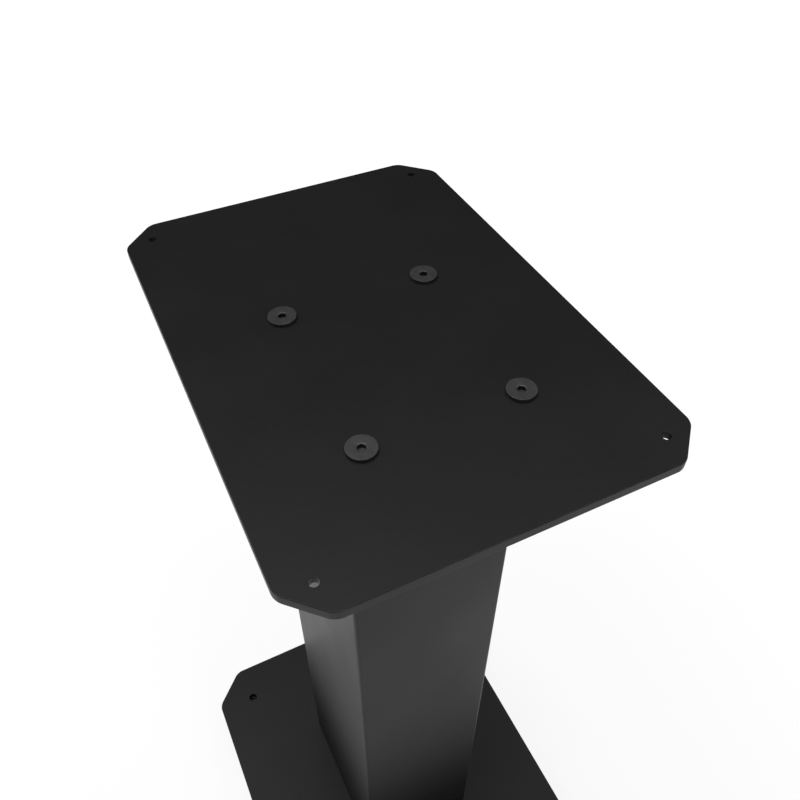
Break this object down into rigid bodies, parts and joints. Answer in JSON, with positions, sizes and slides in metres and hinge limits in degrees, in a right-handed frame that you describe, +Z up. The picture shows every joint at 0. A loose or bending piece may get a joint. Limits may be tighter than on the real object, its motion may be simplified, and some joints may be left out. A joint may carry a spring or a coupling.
{
  "type": "speaker stand",
  "caption": "Steel speaker stand: rectangular hollow column between a drilled top plate and a wide base plate on levelling spikes with floor discs.",
  "frame": {"origin": "on the floor, under the centre of the base plate and of the column", "axes": "+X to the right of the stand seen from its front, +Y to the back, +Z up"},
  "size_m": [0.286, 0.336, 0.6519],
  "materials": {
    "powder_coat": "fine matte black powder coat on steel",
    "black_bolt": "black oxide bolt, smooth",
    "lock_nut": "blackened zinc",
    "spike": "turned steel, black oxide",
    "floor_disc": "turned steel, satin",
    "disc_pad": "dense black felt pad"
  },
  "bodies": {
    "stand": {"top_plate": "powder_coat", "column_flange": "powder_coat", "column_tube": "powder_coat", "column_foot_plate": "powder_coat", "base_plate": "powder_coat", "top_plate_bolts": "black_bolt", "base_plate_bolts": "black_bolt", "front_left_lock_nut": "lock_nut", "front_right_lock_nut": "lock_nut", "back_left_lock_nut": "lock_nut", "back_right_lock_nut": "lock_nut"},
    "front_left_disc": {"front_left_floor_disc": "floor_disc", "front_left_disc_pad": "disc_pad"},
    "front_left_spike": {"front_left_spike": "spike"},
    "front_right_disc": {"front_right_floor_disc": "floor_disc", "front_right_disc_pad": "disc_pad"},
    "front_right_spike": {"front_right_spike": "spike"},
    "back_left_disc": {"back_left_floor_disc": "floor_disc", "back_left_disc_pad": "disc_pad"},
    "back_left_spike": {"back_left_spike": "spike"},
    "back_right_disc": {"back_right_floor_disc": "floor_disc", "back_right_disc_pad": "disc_pad"},
    "back_right_spike": {"back_right_spike": "spike"}
  },
  "joints": [
    {"name": "front_left_turn", "type": "hinge", "parent": "front_left_disc", "child": "front_left_spike", "pos_m": [-0.107, -0.132, 0.0347], "axis": [0, 0, 1], "range_deg": [-288.5, 1152.5]},
    {"name": "front_left_height", "type": "slide", "parent": "stand", "child": "front_left_disc", "axis": [0, 0, -1], "range_m": [-0.004, 0.001]},
    {"name": "front_right_turn", "type": "hinge", "parent": "front_right_disc", "child": "front_right_spike", "pos_m": [0.107, -0.132, 0.0347], "axis": [0, 0, 1], "range_deg": [-288.5, 1152.5]},
    {"name": "front_right_height", "type": "slide", "parent": "stand", "child": "front_right_disc", "axis": [0, 0, -1], "range_m": [-0.004, 0.001]},
    {"name": "back_left_turn", "type": "hinge", "parent": "back_left_disc", "child": "back_left_spike", "pos_m": [-0.107, 0.132, 0.0347], "axis": [0, 0, 1], "range_deg": [-288.5, 1152.5]},
    {"name": "back_left_height", "type": "slide", "parent": "stand", "child": "back_left_disc", "axis": [0, 0, -1], "range_m": [-0.004, 0.001]},
    {"name": "back_right_turn", "type": "hinge", "parent": "back_right_disc", "child": "back_right_spike", "pos_m": [0.107, 0.132, 0.0347], "axis": [0, 0, 1], "range_deg": [-288.5, 1152.5]},
    {"name": "back_right_height", "type": "slide", "parent": "stand", "child": "back_right_disc", "axis": [0, 0, -1], "range_m": [-0.004, 0.001]}
  ],
  "couplings": [
    {"joint": "front_left_turn", "follows": "front_left_height", "rad_per_m": -5026.5},
    {"joint": "front_right_turn", "follows": "front_right_height", "rad_per_m": -5026.5},
    {"joint": "back_left_turn", "follows": "back_left_height", "rad_per_m": -5026.5},
    {"joint": "back_right_turn", "follows": "back_right_height", "rad_per_m": -5026.5}
  ]
}
